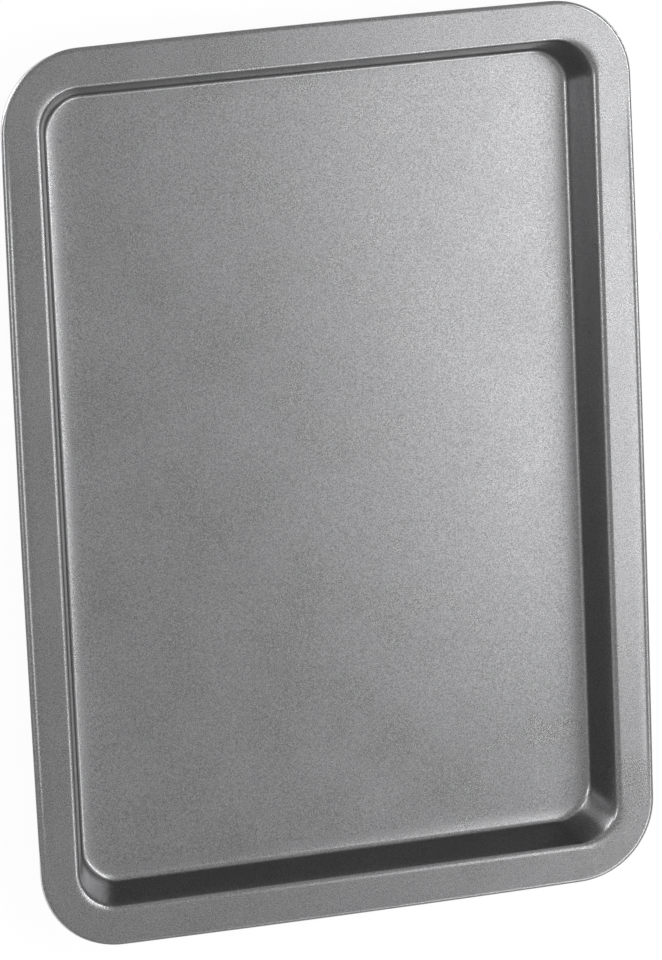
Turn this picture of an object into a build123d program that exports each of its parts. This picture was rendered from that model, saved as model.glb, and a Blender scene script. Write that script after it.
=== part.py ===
from build123d import *
from math import cos, radians
import os

# Cookie sheet: a flat tray pressed from one steel sheet, with its edge rolled round a wire.
# It lies with the underside of its floor on the XY plane, its long side along Y and its
# centre on the Z axis.

# Overall size over the rolled edge
tray_length = 378
tray_width = 270
tray_height = 20

# Sheet steel
sheet = 0.6

# Rim, from the outer edge to where its plane would meet the wall
rim_width = 17.4
edge_corner_radius = 34

# Well, measured on the side that the food lies on
wall_draft = 17
well_corner_radius = 16
rim_bend = 1.8
floor_bend = 3

# Rolled edge and the wire inside it
wire_diameter = 2
wire_clearance = 0.05
wire_flat_count = 12
roll_turn = 270

# How far a cutting block runs past the surface that it cuts
overrun = 2

# Sizes that follow
well_depth = tray_height - sheet
rim_underside = tray_height - sheet
mouth_length = tray_length - 2 * rim_width
mouth_width = tray_width - 2 * rim_width
wall_skin = sheet / cos(radians(wall_draft))
roll_bore = wire_diameter / 2 + wire_clearance
roll_radius = roll_bore + sheet
roll_x = tray_width / 2 - roll_radius
roll_y = tray_length / 2 - roll_radius
roll_z = tray_height - roll_radius
roll_corner_radius = edge_corner_radius - roll_radius
mouth_plane = Plane.XY.offset(tray_height)


# Edges between two sloping walls: all but the level ones round the top and the bottom
def slanted_edges(block):
    return block.edges().filter_by(Plane.XY, reverse=True)


# Space inside the well. Its walls slope about the height of the rim's upper side, and keep one
# corner radius all the way up.
with BuildPart() as well_space:
    with BuildSketch(Plane.XY.offset(sheet)):
        Rectangle(mouth_width, mouth_length)
    extrude(amount=well_depth + overrun)
    draft(well_space.faces().filter_by(Axis.Z, reverse=True), mouth_plane, -wall_draft)
    fillet(slanted_edges(well_space), well_corner_radius)
    fillet(well_space.faces().sort_by(Axis.Z)[0].edges(), floor_bend)

# Line round the middle of the rolled edge, from the middle of one long side and back to it
with BuildLine(Plane.XY.offset(roll_z)) as edge_line:
    Polyline(
        (roll_x, 0),
        (roll_x, roll_y),
        (-roll_x, roll_y),
        (-roll_x, -roll_y),
        (roll_x, -roll_y),
        close=True,
    )
    fillet(edge_line.vertices().filter_by(lambda vertex: vertex.Y != 0), roll_corner_radius)

# The pressed sheet
with BuildPart() as tray_sheet:
    # outside of the well, one sheet thickness larger, from the floor's underside up to the rim
    with BuildSketch(Plane.XY):
        Rectangle(mouth_width + 2 * wall_skin, mouth_length + 2 * wall_skin)
    extrude(amount=rim_underside)
    draft(tray_sheet.faces().filter_by(Axis.Z, reverse=True), mouth_plane, -wall_draft)
    fillet(slanted_edges(tray_sheet), well_corner_radius + sheet)
    fillet(tray_sheet.faces().sort_by(Axis.Z)[0].edges(), floor_bend + sheet)

    # flat rim, bent down into the wall
    with BuildSketch(Plane.XY.offset(rim_underside)):
        RectangleRounded(2 * roll_x, 2 * roll_y, roll_corner_radius)
    extrude(amount=sheet)
    underside = tray_sheet.faces().filter_by(Axis.Z).sort_by(Axis.Z)[-2]
    fillet(underside.inner_wires().edges(), rim_bend - sheet)

    # the well is hollow, and its mouth is bent like the rim's underside
    add(well_space.part, mode=Mode.SUBTRACT)
    topside = tray_sheet.faces().filter_by(Axis.Z).sort_by(Axis.Z)[-1]
    fillet(topside.inner_wires().edges(), rim_bend)

    # outer edge, rolled down and under round the wire
    with BuildSketch(Plane.XZ):
        with BuildLine():
            outside = CenterArc((roll_x, roll_z), roll_radius, 90, -roll_turn)
            inside = CenterArc((roll_x, roll_z), roll_bore, 90, -roll_turn)
            Line(outside @ 0, inside @ 0)
            Line(outside @ 1, inside @ 1)
        make_face()
    sweep(path=edge_line.wire())
tray_sheet.part.label = "tray_sheet"

# The wire that stiffens the edge, one closed ring. The roll hides it, so flats stand for its round.
with BuildPart() as rim_wire:
    with BuildSketch(Plane.XZ):
        with Locations((roll_x, roll_z)):
            RegularPolygon(wire_diameter / 2, wire_flat_count)
    sweep(path=edge_line.wire())
rim_wire.part.label = "rim_wire"

os.makedirs("parts", exist_ok=True)
export_step(tray_sheet.part, "parts/tray_sheet.step")
export_step(rim_wire.part, "parts/rim_wire.step")
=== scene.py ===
import math

import bmesh
import bpy
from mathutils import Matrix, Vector


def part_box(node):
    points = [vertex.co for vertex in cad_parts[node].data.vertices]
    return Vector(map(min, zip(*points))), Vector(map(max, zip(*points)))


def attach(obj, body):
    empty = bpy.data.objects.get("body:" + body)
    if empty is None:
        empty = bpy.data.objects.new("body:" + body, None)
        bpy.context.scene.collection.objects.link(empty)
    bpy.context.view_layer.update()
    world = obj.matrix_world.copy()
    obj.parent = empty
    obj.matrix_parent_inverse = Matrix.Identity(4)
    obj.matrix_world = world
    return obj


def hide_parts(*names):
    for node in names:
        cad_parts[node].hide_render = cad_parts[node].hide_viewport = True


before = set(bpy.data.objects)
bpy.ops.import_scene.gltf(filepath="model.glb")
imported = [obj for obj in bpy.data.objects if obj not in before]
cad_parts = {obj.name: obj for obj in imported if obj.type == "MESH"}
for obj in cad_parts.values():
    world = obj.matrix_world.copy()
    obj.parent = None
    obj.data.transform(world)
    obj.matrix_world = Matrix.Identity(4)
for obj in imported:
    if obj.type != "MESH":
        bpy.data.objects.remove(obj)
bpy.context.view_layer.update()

scene = bpy.context.scene
scene.view_settings.view_transform = "Standard"


def dropSelection():
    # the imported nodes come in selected
    if bpy.context.mode != "OBJECT":
        bpy.ops.object.mode_set(mode="OBJECT")
    bpy.ops.object.select_all(action="DESELECT")


def take(piece):
    dropSelection()
    bpy.context.view_layer.objects.active = piece
    piece.select_set(True)


def pickVerts(piece, test):
    # leaves only the vertices selected that pass the test
    bpy.ops.mesh.select_all(action="DESELECT")
    cage = bmesh.from_edit_mesh(piece.data)
    for vert in cage.verts:
        if test(vert):
            vert.select = True
    cage.select_flush(True)
    bmesh.update_edit_mesh(piece.data)


def nudge(piece, test, shift):
    pickVerts(piece, test)
    bpy.ops.transform.translate(value=shift)


# the camera looks down from above, left of the tray and beyond its far end
camera = {
    "place": (-0.8384, 0.7004, 2.7187),
    "turn": (-13.198, -17.786, -2.501),  # degrees
    "lens": 265.4,
    "clipStart": 0.05,
}

dropSelection()
bpy.ops.object.camera_add(location=camera["place"],
                          rotation=[math.radians(a) for a in camera["turn"]])
eye = bpy.context.object
eye.data.lens = camera["lens"]
eye.data.clip_start = camera["clipStart"]
scene.camera = eye
print("camera set")


# the pressed sheet, all lengths in metres and all turns in degrees
tray = {
    "sheet": 0.0006,
    "rimWidth": 0.0174,
    "wallDraft": 17,
    "wellCorner": 0.016,
    "leastCorner": 0.002,  # of the rings on the floor
    "edgeCorner": 0.034,
    "rimBend": 0.0029,
    "floorBend": 0.003,
    # the floor starts to rise before its bend: how far in from it, slope there
    "floorSoftStart": ((0.014, 0.15), (0.011, 0.35), (0.0085, 0.7), (0.0065, 1.2),
                       (0.0048, 2.0), (0.0034, 3.0), (0.0022, 4.4), (0.0011, 6.0), (0, 8.0)),
    # the wall starts to lean before the rim's bend: how far down from it, lean there
    "rimSoftStart": ((0.0060, 1.0), (0.0040, 2.2), (0.0025, 4.0), (0.0012, 6.5), (0, 10.0)),
    "beadRadius": 0.00165,
    "beadTurn": 270,
    "cornerSteps": 28,
    "bendSteps": 9,
    "wallSteps": 4,
    "beadSteps": 26,
    # rings on the flat rim, in from the edge, closer together where the channel is
    "rimPlaces": (0.0128, 0.0105, 0.0085, 0.0070, 0.0058, 0.0048, 0.0040, 0.0034, 0.0029,
                  0.0024, 0.0020, 0.00165),
    # a shallow channel inside the roll of the long sides: place in from the edge, depth
    "channel": ((0.0048, 0.00002), (0.0040, 0.00007), (0.0034, 0.00014), (0.0029, 0.00019),
                (0.0024, 0.00016), (0.0020, 0.00005)),
    "channelFade": 0.035,  # length over which it runs out towards the corners
    "bow": (0.0008, 0.0005),  # how far the long and the short sides stand out at their middles
    "bowReach": 0.0075,  # width of the strip along the edge that bows
    "cuts": (12, 8),  # across each half of the long and the short sides
    # the press leaves both bends softer in the corners than along the sides
    "cornerSpans": (42, 34, 26, 18),  # to each side of the diagonal, one after the other
    "rimEase": (6, 0.012, 0.0206),  # passes, lowest, how far out from the corner's middle
    "floorEase": (3, 0.0013, 0.0055),  # passes, lowest, highest
    "mergeWithin": 0.000001,
    "smoothAngle": 50,
}

halfWidth, halfLength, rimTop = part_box("tray_sheet")[1]
shortEnd = halfWidth - tray["edgeCorner"]  # where the corners begin
longEnd = halfLength - tray["edgeCorner"]
near = 0.0001  # how close to a cut or a ring counts as on it


def wallIn(t, z):
    # how far in from the outer edge the wall stands at a height
    return t["rimWidth"] + (rimTop - z) * math.tan(math.radians(t["wallDraft"]))


def wellRing(t, inwards, z):
    # a ring is its place in from the outer edge, its height and its corner radius;
    # in the well its corners have the same middles as the wall's at that height
    return inwards, z, t["wellCorner"] - (inwards - wallIn(t, z))


def floorRings(t):
    # the floor, rising a little towards the bend, and the bend up into the wall
    turn = math.pi / 2 - math.radians(t["wallDraft"])
    bend, steps = t["floorBend"], t["bendSteps"]
    soft = [(out, math.radians(a)) for out, a in t["floorSoftStart"]]
    climb = [0]
    for (far, a), (close, b) in zip(soft, soft[1:]):
        climb.append(climb[-1] + (far - close) * math.tan((a + b) / 2))
    lead = soft[-1][1]
    foot = t["sheet"] + climb[-1]
    start = wallIn(t, foot + bend * (math.cos(lead) - math.cos(turn))) \
        + bend * (math.sin(turn) - math.sin(lead))
    rings = []
    for (out, a), up in zip(soft, climb):
        inwards, z, corner = wellRing(t, start + out, t["sheet"] + up)
        rings.append((inwards, z, max(corner, t["leastCorner"])))
    for k in range(1, steps + 1):
        a = lead + (turn - lead) * k / steps
        rings.append(wellRing(t, start - bend * (math.sin(a) - math.sin(lead)),
                              foot + bend * (math.cos(lead) - math.cos(a))))
    return rings


def wallRings(t, bottom):
    # the wall, easing towards its top, and the bend out into the rim
    turn = math.pi / 2 - math.radians(t["wallDraft"])
    bend, steps = t["rimBend"], t["bendSteps"]
    eased = [(down, math.radians(a)) for down, a in reversed(t["rimSoftStart"])]
    last = turn - eased[0][1]
    top = rimTop - bend * (1 - math.cos(last))
    side = [(0, 0)]  # from the bend back down the wall: run inwards, drop
    for (close, b), (far, a) in zip(eased, eased[1:]):
        mean = turn - (a + b) / 2
        side.append((side[-1][0] + (far - close) * math.cos(mean),
                     side[-1][1] + (far - close) * math.sin(mean)))
    low = top - side[-1][1]
    mouth = wallIn(t, low) - side[-1][0]
    rings = []
    for k in range(1, t["wallSteps"]):
        z = bottom + (low - bottom) * k / t["wallSteps"]
        rings.append(wellRing(t, wallIn(t, z), z))
    for run, drop in reversed(side):
        rings.append(wellRing(t, mouth + run, top - drop))
    end = mouth - bend * math.sin(last)
    for k in range(1, steps + 1):
        a = last * (1 - k / steps)
        rings.append(wellRing(t, end + bend * math.sin(a), rimTop - bend * (1 - math.cos(a))))
    return rings


def rimRings(t, inner):
    # the flat rim out from its inner ring, then the roll down and under
    bead = t["beadRadius"]
    start, innerCorner, outerCorner = inner[0], inner[2], t["edgeCorner"] - bead
    rings = []
    for inwards in t["rimPlaces"]:
        share = (start - inwards) / (start - bead)
        rings.append((inwards, rimTop, innerCorner + share * (outerCorner - innerCorner)))
    for k in range(1, t["beadSteps"] + 1):
        a = math.radians(t["beadTurn"]) * k / t["beadSteps"]
        rings.append((bead - bead * math.sin(a), rimTop - bead + bead * math.cos(a),
                      outerCorner + bead * math.sin(a)))
    return rings


def pullRing(piece, side, old, new):
    # one more ring out of the open edge, its four corners opened about their own centres
    bpy.ops.mesh.extrude_region_move()
    cage = bmesh.from_edit_mesh(piece.data)
    ring = {v.index for v in cage.verts if v.select}
    out, grow, scale = old[0] - new[0], new[2] - old[2], new[2] / old[2]
    for sx in (1, -1):
        for sy in (1, -1):
            pickVerts(piece, lambda v: v.index in ring and v.co.x * sx > 0 and v.co.y * sy > 0)
            centre = (sx * (side[0] - old[2]), sy * (side[1] - old[2]), old[1])
            bpy.ops.transform.resize(value=(scale, scale, 1), center_override=centre)
            bpy.ops.transform.translate(
                value=(sx * (out - grow), sy * (out - grow), new[1] - old[1]))
    pickVerts(piece, lambda v: v.index in ring)
    return side[0] + out, side[1] + out


def pressTray(t):
    # a plate a little smaller than the floor, then ring after ring pulled out of its edge
    rings = floorRings(t)
    rings += wallRings(t, rings[-1][1])
    rings += rimRings(t, rings[-1])
    inwards, z, corner = rings[0]
    side = (halfWidth - inwards, halfLength - inwards)
    dropSelection()
    bpy.ops.mesh.primitive_plane_add(size=2, location=(0, 0, 0))
    piece = bpy.context.object
    piece.name = piece.data.name = "coated_tray"
    bpy.ops.object.mode_set(mode="EDIT")
    bpy.ops.mesh.select_all(action="SELECT")
    bpy.ops.transform.resize(value=(side[0], side[1], 1))
    bpy.ops.transform.translate(value=(0, 0, z))
    bpy.ops.mesh.bevel(offset=corner, segments=t["cornerSteps"], affect="VERTICES")
    bpy.ops.mesh.select_all(action="SELECT")
    bpy.ops.mesh.region_to_loop()
    for old, new in zip(rings, rings[1:]):
        side = pullRing(piece, side, old, new)
    print("tray rings:", len(rings))
    return piece


def crossCut(piece, places, axis):
    for place in places:
        point, normal = [0, 0, 0], [0, 0, 0]
        point[axis] = place
        normal[axis] = 1
        bpy.ops.mesh.select_all(action="SELECT")
        bpy.ops.mesh.bisect(plane_co=point, plane_no=normal)


def cutsAlong(end, steps):
    return [end * k / steps for k in range(-steps, steps + 1)]


def fromCorner(v):
    # distance and direction from the middle of the nearest corner's arcs
    x, y = abs(v.co.x) - shortEnd, abs(v.co.y) - longEnd
    return math.hypot(x, y), math.degrees(math.atan2(y, x))


def easeCorners(piece, t):
    rimPasses, rimLowest, rimReach = t["rimEase"]
    floorPasses, floorLowest, floorHighest = t["floorEase"]

    def onRimBend(v):
        return v.co.z > rimLowest and fromCorner(v)[0] < rimReach

    def onFloorBend(v):
        return floorLowest < v.co.z < floorHighest

    for span in t["cornerSpans"]:
        for onBend, passes in ((onRimBend, rimPasses), (onFloorBend, floorPasses)):
            pickVerts(piece, lambda v: abs(fromCorner(v)[1] - 45) < span and onBend(v))
            bpy.ops.mesh.vertices_smooth(factor=0.5, repeat=passes)


def fade(place, full, none):
    # 1 up to full, 0 from none on, smooth between
    k = min(max((none - abs(place)) / (none - full), 0), 1)
    return k * k * (3 - 2 * k)


def sinkChannel(piece, t):
    # beside the roll of the long sides, running out where the corners begin
    for y in longCuts[1:-1]:
        deep = fade(y, longEnd - t["channelFade"], longEnd)
        for inwards, depth in t["channel"]:
            nudge(piece, lambda v: abs(v.co.y - y) < near and v.co.z > rimTop - near
                  and abs(abs(v.co.x) - halfWidth + inwards) < near, (0, 0, -depth * deep))


def bowSides(piece, t):
    # sides a little out of straight: the edge goes in towards the corners
    bowLong, bowShort = t["bow"]
    reach = t["bowReach"]
    for s in (1, -1):
        for e in (1, -1):
            nudge(piece, lambda v: v.co.x * s > shortEnd - near and v.co.y * e > longEnd - near
                  and fromCorner(v)[0] > t["edgeCorner"] - reach, (-s * bowLong, -e * bowShort, 0))
        for y in longCuts[1:-1]:
            nudge(piece, lambda v: abs(v.co.y - y) < near and v.co.x * s > halfWidth - reach,
                  (-s * bowLong * (y / longEnd) ** 2, 0, 0))
        for x in shortCuts[1:-1]:
            nudge(piece, lambda v: abs(v.co.x - x) < near and v.co.y * s > halfLength - reach,
                  (0, -s * bowShort * (x / shortEnd) ** 2, 0))


def thicken(piece, t):
    # upper side up, then the thickness goes under it
    bpy.ops.mesh.select_all(action="SELECT")
    bpy.ops.mesh.remove_doubles(threshold=t["mergeWithin"])
    bpy.ops.mesh.normals_make_consistent(inside=False)
    middle = min(bmesh.from_edit_mesh(piece.data).faces,
                 key=lambda f: f.calc_center_median().length)
    if middle.normal.z < 0:
        bpy.ops.mesh.flip_normals()
    take(piece)
    shell = piece.modifiers.new("sheet", "SOLIDIFY")
    shell.thickness = t["sheet"]
    shell.offset = -1
    shell.use_even_offset = True
    bpy.ops.object.modifier_apply(modifier=shell.name)
    bpy.ops.object.shade_smooth_by_angle(angle=math.radians(t["smoothAngle"]))
    flats = piece.modifiers.new("flats", "WEIGHTED_NORMAL")
    flats.keep_sharp = True
    bpy.ops.object.modifier_apply(modifier=flats.name)


trayPiece = pressTray(tray)
longCuts, shortCuts = (cutsAlong(end, steps)
                       for end, steps in zip((longEnd, shortEnd), tray["cuts"]))
crossCut(trayPiece, longCuts, 1)
crossCut(trayPiece, shortCuts, 0)
print("tray cut across:", len(bmesh.from_edit_mesh(trayPiece.data).verts), "vertices")
easeCorners(trayPiece, tray)
print("corners eased")
sinkChannel(trayPiece, tray)
bowSides(trayPiece, tray)
print("channel and bow made")
thicken(trayPiece, tray)
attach(trayPiece, "root")
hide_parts("tray_sheet")
print("tray pressed:", len(trayPiece.data.vertices), "vertices")


def node(tree, kind, place, **values):
    # values are named after the node's inputs or its settings
    made = tree.nodes.new(kind)
    made.location = place
    for key, value in values.items():
        if key in made.inputs:
            made.inputs[key].default_value = value
        else:
            setattr(made, key, value)
    return made


def feed(tree, source, socket):
    # an output is linked, a number or colour is set
    if isinstance(source, bpy.types.NodeSocket):
        tree.links.new(source, socket)
    else:
        socket.default_value = source


def reckon(tree, place, operation, a, b):
    made = node(tree, "ShaderNodeMath", place, operation=operation)
    feed(tree, a, made.inputs[0])
    feed(tree, b, made.inputs[1])
    return made.outputs[0]


def stretch(tree, place, source, between, to=(0, 1)):
    # what lies between two values is spread over two others
    made = node(tree, "ShaderNodeMapRange", place, clamp=True)
    for value, name in zip((source, *between, *to),
                           ("Value", "From Min", "From Max", "To Min", "To Max")):
        feed(tree, value, made.inputs[name])
    return made.outputs["Result"]


def mixed(tree, place, kind, share, a, b):
    # a where share is 0, b where it is 1
    first, result = {"FLOAT": (2, 0), "RGBA": (6, 2)}[kind]
    made = node(tree, "ShaderNodeMix", place, data_type=kind)
    feed(tree, share, made.inputs[0])
    feed(tree, a, made.inputs[first])
    feed(tree, b, made.inputs[first + 1])
    return made.outputs[result]


def newGroup(name, takes, gives):
    # a vector named Coordinates and plain numbers go in, plain numbers come out
    group = bpy.data.node_groups.new(name, "ShaderNodeTree")
    sockets = group.interface
    sockets.new_socket("Coordinates", in_out="INPUT", socket_type="NodeSocketVector")
    for title in takes:
        sockets.new_socket(title, in_out="INPUT", socket_type="NodeSocketFloat")
    for title in gives:
        sockets.new_socket(title, in_out="OUTPUT", socket_type="NodeSocketFloat")
    start = node(group, "NodeGroupInput", (-900, 0))
    end = node(group, "NodeGroupOutput", (500, 0))
    return group, start.outputs, end.inputs


# fine grain of a sprayed and baked coating, or of drawn wire
grainLook = {
    "flakeFiner": 1.6,  # times the grain
    "spread": (0.40, 0.60),
    "noises": {"fine": (1.0, 0.6), "flake": (1.0, 0.5), "cloud": (3.0, 0.55)},  # detail, roughness
}


def grainGroup(g):
    group, given, wanted = newGroup("coatingGrain", ("Grain per metre", "Cloud per metre"),
                                    ("Tone", "Cloud", "Height"))
    flakeScale = reckon(group, (-780, -60), "MULTIPLY", given["Grain per metre"], g["flakeFiner"])
    scales = {"fine": given["Grain per metre"], "flake": flakeScale,
              "cloud": given["Cloud per metre"]}
    noise = {}
    for k, (name, (detail, roughness)) in enumerate(g["noises"].items()):
        made = node(group, "ShaderNodeTexNoise", (-600, 260 - 320 * k),
                    Detail=detail, Roughness=roughness)
        feed(group, given["Coordinates"], made.inputs["Vector"])
        feed(group, scales[name], made.inputs["Scale"])
        noise[name] = made.outputs["Fac"]
    both = reckon(group, (-300, 120), "ADD", noise["fine"], noise["flake"])
    half = reckon(group, (-120, 120), "MULTIPLY", both, 0.5)
    feed(group, stretch(group, (80, 220), half, g["spread"]), wanted["Tone"])
    feed(group, noise["cloud"], wanted["Cloud"])
    feed(group, half, wanted["Height"])
    return group


# where a bend stands out and hands or shelves rub it smooth
rubLook = {
    "patches": (70.0, 4.0),  # per metre, detail
    "spread": (0.4, 0.62),
}


def rubGroup(r):
    group, given, wanted = newGroup("rubbedEdges", ("Starts", "Full"), ("Mask",))
    bend = node(group, "ShaderNodeNewGeometry", (-700, 260))
    ridge = stretch(group, (-420, 200), bend.outputs["Pointiness"],
                    (given["Starts"], given["Full"]))
    perMetre, detail = r["patches"]
    patch = node(group, "ShaderNodeTexNoise", (-420, -160), Scale=perMetre, Detail=detail)
    feed(group, given["Coordinates"], patch.inputs["Vector"])
    worn = stretch(group, (-180, -100), patch.outputs["Fac"], r["spread"])
    feed(group, reckon(group, (120, 60), "MULTIPLY", ridge, worn), wanted["Mask"])
    return group


grain = grainGroup(grainLook)
rub = rubGroup(rubLook)


def grainyMetal(name, m):
    # tone, gloss and a fine bump follow the grain
    metal = bpy.data.materials.new(name)
    metal.use_nodes = True
    tree = metal.node_tree
    shader = tree.nodes["Principled BSDF"]
    shader.inputs["Metallic"].default_value = m["metallic"]
    where = node(tree, "ShaderNodeTexCoord", (-1500, 0))
    speck = node(tree, "ShaderNodeGroup", (-1250, 100), node_tree=grain,
                 **{"Grain per metre": m["grain"], "Cloud per metre": m["cloud"]})
    feed(tree, where.outputs["Object"], speck.inputs["Coordinates"])
    tone = mixed(tree, (-900, 300), "RGBA", speck.outputs["Tone"], m["dark"], m["light"])
    feed(tree, tone, shader.inputs["Base Color"])
    gloss = stretch(tree, (-900, 0), speck.outputs["Cloud"], m["clouds"], m["roughness"])
    feed(tree, gloss, shader.inputs["Roughness"])
    strength, depth = m["bump"]
    bump = node(tree, "ShaderNodeBump", (-400, -300), Strength=strength, Distance=depth)
    feed(tree, speck.outputs["Height"], bump.inputs["Height"])
    feed(tree, bump.outputs["Normal"], shader.inputs["Normal"])
    return metal


def rubEdges(metal, m):
    # paler and smoother where the bends are rubbed
    tree = metal.node_tree
    shader = tree.nodes["Principled BSDF"]
    colour, roughness = shader.inputs["Base Color"], shader.inputs["Roughness"]
    where = node(tree, "ShaderNodeTexCoord", (-1500, -300))
    worn = node(tree, "ShaderNodeGroup", (-1250, -250), node_tree=rub,
                Starts=m["rubStarts"], Full=m["rubFull"])
    feed(tree, where.outputs["Object"], worn.inputs["Coordinates"])
    mask = worn.outputs["Mask"]
    faint = reckon(tree, (-900, -250), "MULTIPLY", mask, m["rubShare"])
    feed(tree, mixed(tree, (-600, 300), "RGBA", faint, colour.links[0].from_socket, m["rubbed"]),
         colour)
    feed(tree, mixed(tree, (-600, 0), "FLOAT", mask, roughness.links[0].from_socket,
                     m["rubbedRoughness"]), roughness)


coating = {
    "dark": (0.10, 0.10, 0.102, 1),
    "light": (0.22, 0.22, 0.223, 1),
    "metallic": 1.0,
    "roughness": (0.25, 0.31),
    "clouds": (0.3, 0.7),  # values of the cloud noise that get these two roughnesses
    "grain": 2300.0,  # per metre
    "cloud": 26.0,
    "bump": (0.15, 0.00001),  # strength, depth
    "rubStarts": 0.53,  # pointiness
    "rubFull": 0.60,
    "rubShare": 0.35,
    "rubbed": (0.24, 0.24, 0.243, 1),
    "rubbedRoughness": 0.22,
}

coatedSteel = grainyMetal("nonstick_coating_grey", coating)
rubEdges(coatedSteel, coating)
trayPiece.data.materials.clear()
trayPiece.data.materials.append(coatedSteel)

wire = {
    "dark": (0.40, 0.40, 0.41, 1),
    "light": (0.62, 0.62, 0.63, 1),
    "metallic": 1.0,
    "roughness": (0.28, 0.46),
    "clouds": (0.3, 0.7),
    "grain": 2600.0,
    "cloud": 60.0,
    "bump": (0.3, 0.00002),
}

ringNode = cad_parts["rim_wire"]
ringNode.data.materials.clear()
ringNode.data.materials.append(grainyMetal("wire_steel_drawn", wire))
print("materials set")


studio = {
    "floorSize": 12,
    "floorDrop": 0.0001,  # below the tray's underside
    "floorColour": (0.82, 0.82, 0.82, 1),
    "floorRoughness": 0.9,
    "floorGlow": 0.95,  # share of the floor that shows as plain white
    "skyDiffuse": 0.6,
    "lamps": (
        # place, aim, size, power
        ((1.0, 0.4, 0.75), (1.0, 0.4, 0), (0.45, 1.2), 21),
        ((0.7, -0.6, 0.75), (0.7, -0.6, 0), (0.4, 0.3), 2.9),
        ((0.4, 0.0, 0.75), (0.4, 0.0, 0), (0.2, 0.6), 1.5),
        ((0.3, 0.0, 0.75), (0.3, 0.0, 0), (0.16, 0.16), 0.12),
        ((0.6, -0.2, 0.75), (0.6, -0.2, 0), (0.2, 0.2), 0.5),
        ((0.54, -0.93, 0.73), (0, 0, 0), (0.4, 0.4), 3.0),
        ((-1.08, 0, 0.73), (0, 0, 0), (0.4, 0.4), 3.8),
        ((-1.115, 0.644, 0.181), (0, 0, 0), (0.7, 0.4), 5.8),
    ),
}


def whiteRays(tree, place):
    # 1 for the rays that see the background: camera, glossy and transmission
    rays = node(tree, "ShaderNodeLightPath", place).outputs
    x, y = place
    seen = reckon(tree, (x + 200, y), "MAXIMUM", rays["Is Camera Ray"], rays["Is Glossy Ray"])
    return reckon(tree, (x + 400, y), "MAXIMUM", seen, rays["Is Transmission Ray"])


def layFloor(s):
    dropSelection()
    bpy.ops.mesh.primitive_plane_add(size=s["floorSize"], location=(0, 0, -s["floorDrop"]))
    ground = bpy.context.object
    ground.name = "studio_floor"
    paper = bpy.data.materials.new("pale_floor")
    paper.use_nodes = True
    tree = paper.node_tree
    shader = tree.nodes["Principled BSDF"]
    shader.inputs["Base Color"].default_value = s["floorColour"]
    shader.inputs["Roughness"].default_value = s["floorRoughness"]
    glow = node(tree, "ShaderNodeEmission", (0, -300), Strength=1.0)
    mix = node(tree, "ShaderNodeMixShader", (400, 0))
    seen = whiteRays(tree, (-900, 300))
    feed(tree, reckon(tree, (-200, 300), "MULTIPLY", seen, s["floorGlow"]), mix.inputs[0])
    feed(tree, shader.outputs[0], mix.inputs[1])
    feed(tree, glow.outputs[0], mix.inputs[2])
    out = tree.nodes["Material Output"]
    out.location = (650, 0)
    feed(tree, mix.outputs[0], out.inputs["Surface"])
    ground.data.materials.append(paper)


def paintSky(s):
    sky = scene.world or bpy.data.worlds.new("studio")
    scene.world = sky
    sky.use_nodes = True
    tree = sky.node_tree
    back = tree.nodes["Background"]
    back.inputs["Color"].default_value = (1, 1, 1, 1)
    level = stretch(tree, (-200, 0), whiteRays(tree, (-900, 0)), (0, 1), (s["skyDiffuse"], 1))
    feed(tree, level, back.inputs["Strength"])


def hangLamps(s):
    for k, (place, aim, size, power) in enumerate(s["lamps"]):
        dropSelection()
        bpy.ops.object.light_add(type="AREA", location=place)
        lamp = bpy.context.object
        lamp.name = f"softbox_{k}"
        lamp.data.shape = "RECTANGLE"
        lamp.data.size, lamp.data.size_y = size
        lamp.data.energy = power
        lamp.visible_camera = False
        away = Vector(place) - Vector(aim)
        lamp.rotation_euler = away.to_track_quat("Z", "Y").to_euler()


layFloor(studio)
paintSky(studio)
hangLamps(studio)
print("studio set")
